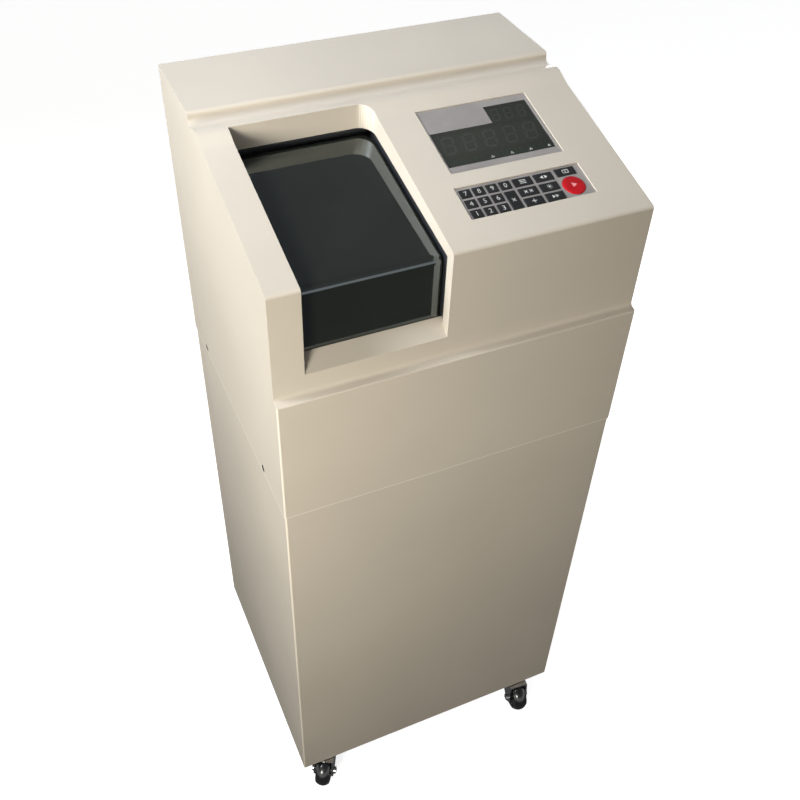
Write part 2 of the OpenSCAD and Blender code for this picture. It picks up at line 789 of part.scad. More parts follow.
// The three-pole mains inlet and the switch housing stand side by side
module power_inlet() {
  pocket_deep = 20;
  pin_at = [[-7, -2], [7, -2], [0, 3.5]];
  split = 101.8;
  split_gap = 0.4;
  color(black) at_cabinet() {
    panel_box(inlet_at, [29.2, 22.4], [24, 17], pocket_deep, split + split_gap, inlet_at[0] + 20);
    for (p = pin_at)
      translate([inlet_at[0] + p[0] - 1, body_d - cabinet_in - pocket_deep - 1, inlet_at[1] + p[1] - 2])
        cube([2, 11, 4]);
    panel_box(switch_at, [20.6, 27.4], [19.6, 23.8], pocket_deep, switch_at[0] - 14, split);
  }
}

module power_switch() {
  tilt = 8;
  w = 19;
  color(black) at_cabinet()
    translate([switch_at[0], body_d - cabinet_in - rocker_in, switch_at[1]]) rotate([-tilt, 0, 0]) difference() {
      translate([-w / 2, 0, 0]) rotate([0, 90, 0]) cylinder(h = w, r = 11.5);
      translate([-20, -30, -20]) cube([40, 26, 40]);
      translate([-20, 5.2, -20]) cube([40, 30, 40]);
    }
}

// ---- casters ----

module at_caster(i) {
  p = caster_xy(i);
  translate([p[0], p[1], 0]) rotate([0, 0, -90 - caster_turn[i]]) children();
}

module caster_plates() {
  color(steel) for (i = [0:3]) {
    p = caster_xy(i);
    translate([p[0], p[1], 0]) {
      translate([-caster_size / 2, -caster_size / 2, plate_top - 2.5]) cube([caster_size, caster_size, 2.5]);
      translate([0, 0, race_z]) cylinder(h = plate_top - race_z - 1, r = 19);
      translate([0, 0, crown_z - 2.5]) cylinder(h = race_z - crown_z + 3, r = king_r);
      translate([0, 0, crown_z - 3.4]) cylinder(h = 3.1, r = 8);
    }
  }
}

module fork(i) {
  boss_r = 9.5;
  color(steel) at_caster(i) difference() {
    union() {
      translate([0, 0, crown_z]) cylinder(h = fork_top - crown_z, r = 18);
      translate([0, -leg_in - leg_t, crown_z]) cube([trail + 4, 2 * (leg_in + leg_t), 2.5]);
      for (side = [0, 1])
        translate([0, side == 0 ? -leg_in : leg_in + leg_t, 0]) rotate([90, 0, 0]) linear_extrude(leg_t) {
          translate([trail, wheel_r]) circle(boss_r);
          polygon([
            [-10, crown_z + 2.5], [trail + 4, crown_z + 2.5], [trail + boss_r, wheel_r + 1],
            [trail, wheel_r - boss_r + 2], [trail - boss_r + 1.5, wheel_r - 4], [4, crown_z - 8], [-10, crown_z - 2]]);
        }
      translate([trail, leg_in + leg_t + 4, wheel_r]) rotate([90, 0, 0]) cylinder(h = 2 * (leg_in + leg_t) + 8, r = axle_r);
      for (side = [-1, 1])
        translate([trail, side * (leg_in + leg_t + 1.5) + 1.6, wheel_r]) rotate([90, 0, 0]) cylinder(h = 3.2, r = 5.5);
    }
    translate([0, 0, crown_z - 1]) cylinder(h = 20, r = king_r + run_fit);
  }
}

// Half section of the wheel in (distance from the axle, distance across)
module wheel_section() {
  half = wheel_w / 2;
  hub = leg_in - 0.4;
  span = asin(half / crown_r);
  polygon(concat(
    [[axle_r + run_fit, -hub], [7, -hub], [8, -half + 4.5], [18.5, -half + 3.5], [19.5, -half]],
    arc([wheel_r - crown_r, 0], crown_r, -span, span, 8),
    [[19.5, half], [18.5, half - 3.5], [8, half - 4.5], [7, hub], [axle_r + run_fit, hub]]));
}

module wheel(i) {
  color(black) at_caster(i) translate([trail, 0, wheel_r]) rotate([90, 0, 0])
    rotate_extrude($fn = 96) wheel_section();
}

cabinet_shell();
base_pan();
rear_panel();
deck_frame();
head_casing();
casing_screws();
display_plate();
display_window();
led_digits();
panel_board();
keypad_plate();
key_cap("key_7");  // key_7
key_cap("key_8");  // key_8
key_cap("key_9");  // key_9
key_cap("key_0");  // key_0
key_cap("key_batch");  // key_batch
key_cap("key_mode");  // key_mode
key_cap("key_preset");  // key_preset
key_cap("key_4");  // key_4
key_cap("key_5");  // key_5
key_cap("key_6");  // key_6
key_cap("key_clear");  // key_clear
key_cap("key_all_clear");  // key_all_clear
key_cap("key_uv");  // key_uv
key_cap("key_1");  // key_1
key_cap("key_2");  // key_2
key_cap("key_3");  // key_3
key_cap("key_add");  // key_add
key_cap("key_speed");  // key_speed
start_button();
bay_liner();
cover();
cover_bracket();
cover_pin();
turret();
spindle(0);  // spindle_1
spindle(1);  // spindle_2
spindle(2);  // spindle_3
spindle(3);  // spindle_4
note_clamp();
turret_pulley();
motor_pulley();
drive_belt();
drive_bracket();
drive_motor();
vacuum_pump();
vacuum_hose();
control_board();
power_supply();
power_inlet();
power_switch();
caster_plates();
fork(0);  // fork_front_left
fork(1);  // fork_front_right
fork(2);  // fork_rear_left
fork(3);  // fork_rear_right
wheel(0);  // wheel_front_left
wheel(1);  // wheel_front_right
wheel(2);  // wheel_rear_left
wheel(3);  // wheel_rear_right
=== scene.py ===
"""Looks for the floor-standing banknote bundle counter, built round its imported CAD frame."""
import json
import math

import bmesh
import bpy
from mathutils import Matrix, Vector

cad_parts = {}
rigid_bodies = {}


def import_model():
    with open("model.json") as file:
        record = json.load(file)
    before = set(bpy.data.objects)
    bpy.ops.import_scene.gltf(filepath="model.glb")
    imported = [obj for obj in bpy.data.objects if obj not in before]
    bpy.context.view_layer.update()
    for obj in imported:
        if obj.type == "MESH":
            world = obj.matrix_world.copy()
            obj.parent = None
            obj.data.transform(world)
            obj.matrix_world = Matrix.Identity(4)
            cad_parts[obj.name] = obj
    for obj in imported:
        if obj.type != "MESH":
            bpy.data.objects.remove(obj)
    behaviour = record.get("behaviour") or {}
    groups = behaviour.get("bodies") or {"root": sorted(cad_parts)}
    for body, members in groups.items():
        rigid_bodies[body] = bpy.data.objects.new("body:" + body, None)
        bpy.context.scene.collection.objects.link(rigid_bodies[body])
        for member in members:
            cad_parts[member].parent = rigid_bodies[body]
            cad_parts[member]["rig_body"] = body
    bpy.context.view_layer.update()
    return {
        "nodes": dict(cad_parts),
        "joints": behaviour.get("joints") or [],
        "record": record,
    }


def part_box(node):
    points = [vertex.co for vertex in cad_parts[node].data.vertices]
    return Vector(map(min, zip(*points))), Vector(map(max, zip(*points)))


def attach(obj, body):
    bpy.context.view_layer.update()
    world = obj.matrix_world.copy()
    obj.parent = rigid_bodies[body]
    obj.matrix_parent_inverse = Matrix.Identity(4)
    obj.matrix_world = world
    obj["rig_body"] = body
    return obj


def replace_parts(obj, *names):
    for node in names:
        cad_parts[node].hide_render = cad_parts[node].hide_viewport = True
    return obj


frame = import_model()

MM = 0.001
nodes = frame["nodes"]
joints = {j["name"]: j for j in frame["joints"]}


# ---------------------------------------------------------------- places taken from the frame

casing_lo, casing_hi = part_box("head_casing")
cabinet_lo, cabinet_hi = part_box("cabinet_shell")
FRONT_Y = casing_lo.y
SEAM_Z = casing_lo.z

# The slope's axes: across, up the slope, and out of it. Keys travel straight into it.
SLOPE_N = -Vector(joints["key_5_press"]["axis"]).normalized()
SLOPE_U = Vector((1, 0, 0))
SLOPE_V = SLOPE_N.cross(SLOPE_U)


def slope_span(node):
    """Lowest and highest corner of a node along the slope's three axes."""
    spots = [(v.co.dot(SLOPE_U), v.co.dot(SLOPE_V), v.co.dot(SLOPE_N)) for v in nodes[node].data.vertices]
    return [min(c) for c in zip(*spots)], [max(c) for c in zip(*spots)]


def slope_frame(u, v, w):
    """Turns local x, y, z into across, up and out of the slope, from the point (u, v, w)."""
    place = Matrix.Translation(SLOPE_U * u + SLOPE_V * v + SLOPE_N * w)
    return place @ Matrix((SLOPE_U, SLOPE_V, SLOPE_N)).transposed().to_4x4()


# ---------------------------------------------------------------- camera and light

# The camera's turn, tilt and roll in degrees, its lens in millimetres, and its place in
# metres, measured from the middle of the casing's front at the cabinet's lower edge
CAMERA_TURN = (-25.74, 43.32, 2.44)
CAMERA_LENS = 44.09
CAMERA_AWAY = (-0.4003, -0.672, 1.4196)
# Each lamp's place, aim, size, power in watts, spread in degrees and colour
LAMPS = {
    "side_light": ((-1.15, 0.09, 2.02), (0.10, 0.08, 0.98), 0.6, 8.05, 80, (0.94, 1.0, 1.07)),
    "rear_light": ((1.30, 1.75, 0.70), (0.00, 0.10, 0.62), 0.9, 9.0, 130, (1.0, 0.99, 0.96)),
    "front_light": ((-1.06, -1.14, 1.01), (-0.46, -0.20, 0.82), 0.5, 7.4, 100, (1.03, 1.0, 0.90)),
}
# The studio's grey fill by height: a dim floor, brighter walls, a dimmer ceiling
SKY = ((0.0, 0.08), (0.18, 0.19), (0.7, 0.19), (0.93, 0.13))
FLOOR_REACH = 12
FLOOR_GLOW = 0.80
# The sweep behind the floor, as radius and height in metres
SWEEP_SIDES = 48
SWEEP_OUTLINE = ((9.0, 0.0), (10.5, 0.4), (11.5, 1.4), (11.9, 3.0), (12.0, 6.0))


def aim_camera():
    """A standing person's view of the machine from its front left, looking down at 43 degrees."""
    yaw, pitch, roll = map(math.radians, CAMERA_TURN)
    ahead = Vector((-math.sin(yaw) * math.cos(pitch), math.cos(yaw) * math.cos(pitch), -math.sin(pitch)))
    right = Vector((math.cos(yaw), math.sin(yaw), 0))
    up = right.cross(ahead)
    turned_right = right * math.cos(roll) + up * math.sin(roll)
    turned_up = up * math.cos(roll) - right * math.sin(roll)
    camera = bpy.data.objects.new("camera", bpy.data.cameras.new("camera"))
    camera.data.sensor_width = 36
    camera.data.lens = CAMERA_LENS
    camera.data.clip_end = 50
    turn = Matrix((turned_right, turned_up, -ahead)).transposed().to_4x4()
    x, y, z = CAMERA_AWAY
    place = Vector((x, FRONT_Y + y, cabinet_lo.z + z))
    camera.matrix_world = Matrix.Translation(place) @ turn
    bpy.context.scene.collection.objects.link(camera)
    bpy.context.scene.camera = camera


def soft_light(name, place, aim, size, power, spread, colour):
    light = bpy.data.lights.new(name, "AREA")
    light.shape = "DISK"
    light.size = size
    light.energy = power
    light.color = colour
    light.spread = math.radians(spread)
    lamp = bpy.data.objects.new(name, light)
    lamp.location = place
    lamp.rotation_euler = (Vector(aim) - Vector(place)).to_track_quat("-Z", "Y").to_euler()
    bpy.context.scene.collection.objects.link(lamp)


def light_studio():
    for name, lamp in LAMPS.items():
        soft_light(name, *lamp)
    world = bpy.data.worlds.new("studio")
    world.use_nodes = True
    tree = world.node_tree
    height = tree.nodes.new("ShaderNodeSeparateXYZ")
    ramp = tree.nodes.new("ShaderNodeValToRGB")
    coords = tree.nodes.new("ShaderNodeTexCoord")
    stops = ramp.color_ramp.elements
    for at, grey in SKY:
        stop = stops.new(at) if at > 0 else stops[0]
        stop.color = (grey, grey, grey, 1)
    stops.remove(stops[len(stops) - 1])
    tree.links.new(coords.outputs["Generated"], height.inputs["Vector"])
    tree.links.new(height.outputs["Z"], ramp.inputs["Fac"])
    tree.links.new(ramp.outputs["Color"], tree.nodes["Background"].inputs["Color"])
    tree.nodes["Background"].inputs["Strength"].default_value = 1.0
    bpy.context.scene.world = world
    bpy.context.scene.view_settings.view_transform = "Standard"


def lay_floor():
    """A pale floor and sweep that glow a little. Only the sweep shows in glossy parts."""
    bm = bmesh.new()
    bmesh.ops.create_grid(bm, x_segments=2, y_segments=2, size=FLOOR_REACH)
    floor = new_object("floor", bm)
    s = Shader("pale_floor")
    s.colour(s.ramp(s.noise(2, 3), (0.78, 0.78, 0.78), (0.80, 0.80, 0.80)))
    s.bsdf.inputs["Roughness"].default_value = 0.8
    s.bsdf.inputs["Emission Color"].default_value = (1, 1, 1, 1)
    s.set(emission=FLOOR_GLOW)
    floor.data.materials.append(s.material)
    floor.visible_diffuse = False
    floor.visible_glossy = False
    raise_sweep(s.material)


def raise_sweep(material):
    """The wall all round the floor, seen by the camera and in glossy parts only."""
    bm = bmesh.new()
    turns = [math.tau * i / SWEEP_SIDES for i in range(SWEEP_SIDES)]
    rows = [[bm.verts.new((r * math.cos(t), r * math.sin(t), z)) for t in turns] for r, z in SWEEP_OUTLINE]
    for low, high in zip(rows, rows[1:]):
        for i in range(SWEEP_SIDES):
            bm.faces.new((low[i - 1], low[i], high[i], high[i - 1]))
    sweep = new_object("sweep", bm)
    sweep.data.materials.append(material)
    for ray in ("diffuse", "transmission", "shadow", "volume_scatter"):
        setattr(sweep, "visible_" + ray, False)


# ---------------------------------------------------------------- procedural materials

class Shader:
    """A short way to wire a Principled material from noise, ramps and bump."""

    def __init__(self, name):
        self.material = bpy.data.materials.new(name)
        self.material.use_nodes = True
        self.tree = self.material.node_tree
        self.bsdf = self.tree.nodes["Principled BSDF"]
        self.coords = self.tree.nodes.new("ShaderNodeTexCoord")

    def link(self, a, b):
        self.tree.links.new(a, b)

    def noise(self, scale, detail=4.0, stretch=(1, 1, 1)):
        mapping = self.tree.nodes.new("ShaderNodeMapping")
        mapping.inputs["Scale"].default_value = stretch
        noise = self.tree.nodes.new("ShaderNodeTexNoise")
        noise.inputs["Scale"].default_value = scale
        noise.inputs["Detail"].default_value = detail
        self.link(self.coords.outputs["Object"], mapping.inputs["Vector"])
        self.link(mapping.outputs["Vector"], noise.inputs["Vector"])
        return noise.outputs["Fac"]

    def ramp(self, source, low, high, start=0.35, end=0.65):
        """Colour ramp from low to high over the source's middle."""
        ramp = self.tree.nodes.new("ShaderNodeValToRGB")
        ramp.color_ramp.elements[0].position = start
        ramp.color_ramp.elements[1].position = end
        ramp.color_ramp.elements[0].color = (*low, 1)
        ramp.color_ramp.elements[1].color = (*high, 1)
        self.link(source, ramp.inputs["Fac"])
        return ramp.outputs["Color"]

    def spread(self, source, low, high):
        """Maps a 0 to 1 source on to low to high."""
        node = self.tree.nodes.new("ShaderNodeMapRange")
        node.inputs["To Min"].default_value = low
        node.inputs["To Max"].default_value = high
        self.link(source, node.inputs["Value"])
        return node.outputs["Result"]

    def bump(self, source, strength, distance, after=None):
        bump = self.tree.nodes.new("ShaderNodeBump")
        bump.inputs["Strength"].default_value = strength
        bump.inputs["Distance"].default_value = distance
        self.link(source, bump.inputs["Height"])
        if after is not None:
            self.link(after, bump.inputs["Normal"])
        self.link(bump.outputs["Normal"], self.bsdf.inputs["Normal"])
        return bump.outputs["Normal"]

    def colour(self, source):
        self.link(source, self.bsdf.inputs["Base Color"])

    def roughness(self, source):
        self.link(source, self.bsdf.inputs["Roughness"])

    def set(self, **values):
        names = {"metallic": "Metallic", "coat": "Coat Weight", "coat_roughness": "Coat Roughness",
                 "alpha": "Alpha", "ior": "IOR", "emission": "Emission Strength"}
        for key, value in values.items():
            self.bsdf.inputs[names[key]].default_value = value


def scaled(colour, share):
    return tuple(min(1.0, c * share) for c in colour)


def painted(name, colour, grain, rough, grain_depth, drift=0.03):
    """Paint or moulded plastic: slow colour drift, fine surface grain and uneven gloss."""
    s = Shader(name)
    slow = s.noise(5, 3)
    s.colour(s.ramp(slow, scaled(colour, 1 - drift), scaled(colour, 1 + drift)))
    fine = s.noise(grain, 3)
    waves = s.noise(grain / 9, 2)
    s.roughness(s.spread(s.noise(38, 5), rough - 0.05, rough + 0.06))
    first = s.bump(waves, 0.10, 0.0004)
    s.bump(fine, 0.22, grain_depth, first)
    return s.material


def plain_plastic(name, colour, rough, grain=2600, depth=0.00006, coat=0.0):
    s = Shader(name)
    s.colour(s.ramp(s.noise(60, 5), scaled(colour, 0.86), scaled(colour, 1.14)))
    s.roughness(s.spread(s.noise(220, 4), rough - 0.05, rough + 0.07))
    s.bump(s.noise(grain, 2), 0.3, depth)
    s.set(coat=coat, coat_roughness=0.12)
    return s.material


def brushed(name, colour, rough, stretch, metallic=1.0):
    """Metal with fine lines along one axis."""
    s = Shader(name)
    lines = s.noise(900, 3, stretch)
    s.colour(s.ramp(s.noise(26, 4), scaled(colour, 0.9), scaled(colour, 1.06)))
    s.roughness(s.spread(lines, rough - 0.07, rough + 0.10))
    s.bump(lines, 0.14, 0.00003)
    s.set(metallic=metallic)
    return s.material


def chrome(name):
    s = Shader(name)
    s.colour(s.ramp(s.noise(90, 5), (0.50, 0.50, 0.51), (0.66, 0.66, 0.67)))
    s.roughness(s.spread(s.noise(160, 6), 0.06, 0.22))
    s.bump(s.noise(120, 2), 0.12, 0.0002)
    s.set(metallic=1.0)
    return s.material


def smoked(name, colour, alpha, rough, ior=1.49):
    """Dark tinted acrylic: see-through a little, with a polished skin and faint hairlines."""
    s = Shader(name)
    s.colour(s.ramp(s.noise(9, 3), scaled(colour, 0.85), scaled(colour, 1.2)))
    s.roughness(s.spread(s.noise(700, 3, (1, 0.08, 1)), rough - 0.02, rough + 0.03))
    s.bump(s.noise(12, 2), 0.05, 0.0008)
    s.bsdf.inputs["Specular Tint"].default_value = (0.80, 0.93, 1.0, 1)
    s.set(alpha=alpha, ior=ior, coat=0.25, coat_roughness=0.03)
    return s.material


def tyre(name):
    """Hard, glossy black rubber with faint rolling scuffs round the tread."""
    s = Shader(name)
    scuff = s.noise(420, 5)
    s.colour(s.ramp(scuff, (0.007, 0.007, 0.008), (0.024, 0.023, 0.022), 0.45, 0.8))
    s.roughness(s.spread(s.noise(150, 5), 0.16, 0.42))
    s.bump(s.noise(900, 3), 0.18, 0.00012)
    s.set(coat=0.9, coat_roughness=0.08)
    return s.material


def circuit(name):
    """Solder mask with tracks, from stretched noise steps."""
    s = Shader(name)
    tracks = s.noise(260, 0, (1, 0.12, 1))
    s.colour(s.ramp(tracks, (0.008, 0.10, 0.035), (0.02, 0.20, 0.075), 0.49, 0.52))
    s.roughness(s.spread(s.noise(80, 3), 0.3, 0.45))
    s.bump(tracks, 0.3, 0.00005)
    return s.material


IVORY = (0.560, 0.499, 0.418)
MATERIALS = {
    "casing_plastic": painted("moulded_ivory", IVORY, 1500, 0.42, 0.00009),
    "deck_paint": painted("light_enamel", (0.66, 0.62, 0.54), 1200, 0.34, 0.00008),
    "cabinet_paint": painted("powder_coat_ivory", scaled(IVORY, 0.97), 1100, 0.46, 0.00013),
    "zinc_steel": brushed("zinc_plate", (0.60, 0.61, 0.63), 0.34, (1, 0.06, 1)),
    "black_screw": brushed("black_oxide", (0.035, 0.035, 0.038), 0.42, (1, 1, 0.2)),
    "silver_panel": brushed("silver_film", (0.39, 0.36, 0.34), 0.40, (0.03, 1, 1), 0.35),
    "smoked_lens": smoked("smoked_lens", (0.040, 0.041, 0.033), 0.60, 0.16),
    "black_plastic": plain_plastic("black_plastic", (0.018, 0.018, 0.020), 0.42),
    "circuit_board": circuit("circuit_board"),
    "bay_black": plain_plastic("bay_black", (0.014, 0.016, 0.019), 0.55, 1900, 0.0001),
    "smoked_acrylic": smoked("smoked_acrylic", (0.010, 0.011, 0.008), 0.95, 0.04, 2.1),
    "steel_rod": brushed("ground_rod", (0.66, 0.67, 0.69), 0.22, (0.05, 1, 1)),
    "machined_aluminium": brushed("turned_aluminium", (0.74, 0.75, 0.76), 0.30, (1, 1, 0.08)),
    "belt_rubber": plain_plastic("belt_rubber", (0.016, 0.016, 0.016), 0.62, 1500, 0.0002),
    "motor_paint": painted("motor_enamel", (0.035, 0.036, 0.040), 900, 0.36, 0.0002, 0.12),
    "pump_casting": painted("cast_grey", (0.23, 0.25, 0.27), 500, 0.48, 0.0005, 0.10),
    "transformer_steel": painted("varnished_steel", (0.075, 0.080, 0.090), 700, 0.40, 0.0003, 0.15),
    "key_black": plain_plastic("key_black", (0.014, 0.014, 0.015), 0.30, 2600, 0.00005, 0.3),
    "red_button": plain_plastic("red_button", (0.43, 0.004, 0.009), 0.34, 2600, 0.00004, 0.0),
    "caster_chrome": chrome("caster_chrome"),
    "caster_tyre": tyre("caster_tyre"),
}
# A lighter ivory for the upright rounded edges: a painted highlight, not wear
EDGE_HIGHLIGHT_PAINT = painted("painted_highlight_ivory", scaled(IVORY, 1.28), 1300, 0.34, 0.00008)
# A brighter copy of the deck strip's enamel for its sides: painted light
SIDE_PAINTED_LIGHT = painted("painted_light_enamel", (0.93, 0.91, 0.86), 1200, 0.30, 0.00008)
LEGEND_INK = plain_plastic("legend_ink", (0.56, 0.56, 0.53), 0.5)
RED_INK = plain_plastic("button_ink", (0.78, 0.30, 0.30), 0.5)
SEGMENT = plain_plastic("unlit_segment", (0.42, 0.43, 0.41), 0.45)
MODULE_FACE = plain_plastic("module_face", (0.12, 0.125, 0.12), 0.5)
INDICATOR = plain_plastic("indicator_white", (0.55, 0.55, 0.53), 0.4)
SLOTS = {row["node"]: row["material_slot"] for row in frame["record"]["subparts"]}


def paint_cad():
    """Every carried-over CAD node gets its slot's procedural material."""
    for name, obj in nodes.items():
        obj.data.materials.clear()
        obj.data.materials.append(MATERIALS[SLOTS[name]])


# ---------------------------------------------------------------- mesh helpers

def finish_piece(obj, body, slot, material=None):
    """Gives a new piece its material, taken from its finish slot unless one is given, and its body."""
    obj.data.materials.clear()
    obj.data.materials.append(material or MATERIALS[slot])
    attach(obj, body)
    return obj


def new_object(name, bm):
    """The bmesh as an object, shaded smooth except where it turns by 30 degrees or more."""
    mesh = bpy.data.meshes.new(name)
    bmesh.ops.recalc_face_normals(bm, faces=bm.faces)
    bm.to_mesh(mesh)
    bm.free()
    for face in mesh.polygons:
        face.use_smooth = True
    mesh.set_sharp_from_angle(angle=math.radians(30))
    obj = bpy.data.objects.new(name, mesh)
    bpy.context.scene.collection.objects.link(obj)
    return obj


def apply_modifiers(obj):
    graph = bpy.context.evaluated_depsgraph_get()
    mesh = bpy.data.meshes.new_from_object(obj.evaluated_get(graph))
    obj.modifiers.clear()
    obj.data = mesh
    return obj


def clean_copy(node):
    """The CAD node's mesh as a bmesh with its flat faces whole again."""
    bm = bmesh.new()
    bm.from_mesh(nodes[node].data)
    bmesh.ops.remove_doubles(bm, verts=bm.verts, dist=2e-6)
    bmesh.ops.dissolve_degenerate(bm, dist=1e-6, edges=bm.edges)
    bmesh.ops.dissolve_limit(bm, angle_limit=math.radians(0.4), verts=bm.verts, edges=bm.edges)
    return bm


def edge_angle(edge):
    return math.degrees(edge.calc_face_angle(0)) if len(edge.link_faces) == 2 else 0


# Edges that turn by more than this many degrees are rounded
ROUNDED_TURN = 32
CRISP_RADIUS = 0.35 * MM


def round_edges(bm, radius, segments, pick):
    """Rounds the sharp edges for which pick(middle, edge) is true."""
    chosen = [e for e in bm.edges
              if edge_angle(e) > ROUNDED_TURN and pick((e.verts[0].co + e.verts[1].co) / 2, e)]
    bmesh.ops.bevel(bm, geom=chosen, offset=radius, segments=segments, profile=0.5,
                    affect="EDGES", clamp_overlap=True)


def softened(node, name, radius, segments, pick=lambda middle, edge: True, crisp=None):
    """A copy of the CAD node with its sharp edges rounded, shown in its place. Edges for
    which crisp(middle, edge) is true get a much smaller radius."""
    bm = clean_copy(node)
    if crisp:
        round_edges(bm, CRISP_RADIUS, 2, crisp)
        round_edges(bm, radius, segments, lambda m, edge: pick(m, edge) and not crisp(m, edge))
    else:
        round_edges(bm, radius, segments, pick)
    obj = new_object(name, bm)
    weigh = obj.modifiers.new("weigh", "WEIGHTED_NORMAL")
    weigh.keep_sharp = True
    apply_modifiers(obj)
    body = nodes[node]["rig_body"]
    finish_piece(obj, body, SLOTS[node])
    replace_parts(obj, node)
    return obj


# ---------------------------------------------------------------- casing and cabinet

# Faces narrower than this are part of a rounded edge
EDGE_FACE = 1.2 * MM


def paint_edge_highlights(obj):
    """Upright rounded edges painted a lighter ivory: a painted highlight where light catches the edge."""
    obj.data.materials.append(EDGE_HIGHLIGHT_PAINT)
    for face in obj.data.polygons:
        n = face.normal
        # Only upright faces that look neither straight ahead nor straight sideways
        if min(abs(n.x), abs(n.y)) < 0.2 or abs(n.z) > 0.3:
            continue
        spots = [obj.data.vertices[i].co for i in face.vertices]
        longest = max((a - b).length for a in spots for b in spots)
        if face.area / longest < EDGE_FACE:
            face.material_index = 1


def build_casing():
    wall = 4 * MM
    left, right, back = casing_lo.x + wall, casing_hi.x - wall, casing_hi.y - wall

    def outside(middle, edge):
        """Edges of the outer skin and of the bay's mouth, not of the hidden inner faces."""
        if middle.z < SEAM_Z + 0.5 * MM:
            return False
        return any(f.normal.length > 0 and is_skin(f) for f in edge.link_faces)

    def is_skin(face):
        c = face.calc_center_median()
        n = face.normal
        if abs(n.x) > 0.9:
            return c.x < left or c.x > right
        return n.y < -0.5 and c.y < FRONT_Y + 10 * MM or n.y > 0.9 and c.y > back or n.z > 0.5

    openings = [slope_span(plate) for plate in ("display_plate", "keypad_plate")]
    reach = 2 * MM

    def panel_edge(middle, edge):
        """The rims of the two sunk panels, which stay crisp."""
        u, v, w = middle.dot(SLOPE_U), middle.dot(SLOPE_V), middle.dot(SLOPE_N)
        return any(lo[0] - reach < u < hi[0] + reach and lo[1] - reach < v < hi[1] + reach
                   and w > lo[2] - reach / 2 for lo, hi in openings)

    paint_edge_highlights(softened("head_casing", "casing_skin", 1.8 * MM, 4, outside, crisp=panel_edge))


def build_cabinet():
    paint_edge_highlights(softened("cabinet_shell", "cabinet_skin", 0.5 * MM, 2))
    softened("rear_panel", "rear_panel_skin", 0.3 * MM, 2)
    # Painted light: the strip's two sides get a brighter copy of its enamel, standing in for the light that
    # falls on them
    strip = softened("deck_frame", "deck_strip", 0.5 * MM, 2)
    strip.data.materials.append(SIDE_PAINTED_LIGHT)
    for face in strip.data.polygons:
        if abs(face.normal.x) > 0.6:
            face.material_index = 1


# ---------------------------------------------------------------- flat shapes and lathe work

def add_prism(bm, outline, height, matrix=Matrix()):
    """A flat outline in millimetres, raised to a height in millimetres, put in place."""
    low = [bm.verts.new(matrix @ Vector((x * MM, y * MM, 0))) for x, y in outline]
    high = [bm.verts.new(matrix @ Vector((x * MM, y * MM, height * MM))) for x, y in outline]
    bm.faces.new(low[::-1])
    bm.faces.new(high)
    for a in range(len(low)):
        b = (a + 1) % len(low)
        bm.faces.new((low[a], low[b], high[b], high[a]))


def prisms(name, outlines, height, matrix, body, slot, material=None):
    """One piece made of several raised outlines."""
    bm = bmesh.new()
    for outline in outlines:
        add_prism(bm, outline, height)
    bm.transform(matrix)
    return finish_piece(new_object(name, bm), body, slot, material)


# Thickness of the printed marks in millimetres, and how far below the face they start
LEGEND_RISE = 0.05
SUNK = 0.01 * MM


def facing(direction):
    """A turn that takes local z to the direction."""
    return direction.to_track_quat("Z", "Y").to_matrix().to_4x4()


def bar(x0, y0, x1, y1):
    return [(x0, y0), (x1, y0), (x1, y1), (x0, y1)]


def disc(x, y, r, steps=24):
    turns = [math.tau * i / steps for i in range(steps)]
    return [(x + r * math.cos(t), y + r * math.sin(t)) for t in turns]


def plus(x, y, arm, half, turn=0.0):
    corners = [(half, half), (half, arm), (-half, arm), (-half, half), (-arm, half), (-arm, -half),
               (-half, -half), (-half, -arm), (half, -arm), (half, -half), (arm, -half), (arm, half)]
    c, s = math.cos(turn), math.sin(turn)
    return [(x + a * c - b * s, y + a * s + b * c) for a, b in corners]


def arrow(x, half, length):
    """A triangle that starts at x and points along it."""
    return [(x, -half), (x + length, 0), (x, half)] if length > 0 else [(x, half), (x + length, 0), (x, -half)]


def digit(name, text, height, matrix, body, slot, material):
    """One digit from Blender's own typeface, as a thin raised shape of the given height."""
    curve = bpy.data.curves.new(name, "FONT")
    curve.body = text
    curve.extrude = 0.01  # any thickness: it's scaled to LEGEND_RISE below
    holder = bpy.data.objects.new(name + "_type", curve)
    bpy.context.scene.collection.objects.link(holder)
    mesh = bpy.data.meshes.new_from_object(holder.evaluated_get(bpy.context.evaluated_depsgraph_get()))
    bpy.data.objects.remove(holder)
    bm = bmesh.new()
    bm.from_mesh(mesh)
    bmesh.ops.remove_doubles(bm, verts=bm.verts, dist=1e-5)
    lo, hi = ([f(v.co[i] for v in bm.verts) for i in range(3)] for f in (min, max))
    size = height * MM / (hi[1] - lo[1])
    middle = Vector(((lo[0] + hi[0]) / 2, (lo[1] + hi[1]) / 2, lo[2]))
    rise = LEGEND_RISE * MM / (hi[2] - lo[2])
    bm.transform(Matrix.Diagonal((size, size, rise, 1)) @ Matrix.Translation(-middle))
    bm.transform(matrix)
    return finish_piece(new_object(name, bm), body, slot, material)


def lathe(name, profile, place, axis, body, slot, steps=72):
    """Turns a profile of (radius, height) in millimetres about an axis through place."""
    turn = Matrix.Translation(place) @ facing(Vector(axis))
    bm = bmesh.new()
    rows = []
    for r, h in profile:
        turns = [math.tau * i / steps for i in range(1 if r < 1e-6 else steps)]
        rows.append([bm.verts.new((r * MM * math.cos(t), r * MM * math.sin(t), h * MM)) for t in turns])
    for a, b in zip(rows, rows[1:]):
        for i in range(steps):
            corners = [a[i % len(a)], a[(i + 1) % len(a)], b[(i + 1) % len(b)], b[i % len(b)]]
            corners = [c for k, c in enumerate(corners) if c not in corners[:k]]
            if len(corners) > 2:
                bm.faces.new(corners)
    bm.transform(turn)
    bmesh.ops.remove_doubles(bm, verts=bm.verts, dist=1e-6)
    return finish_piece(new_object(name, bm), body, slot)


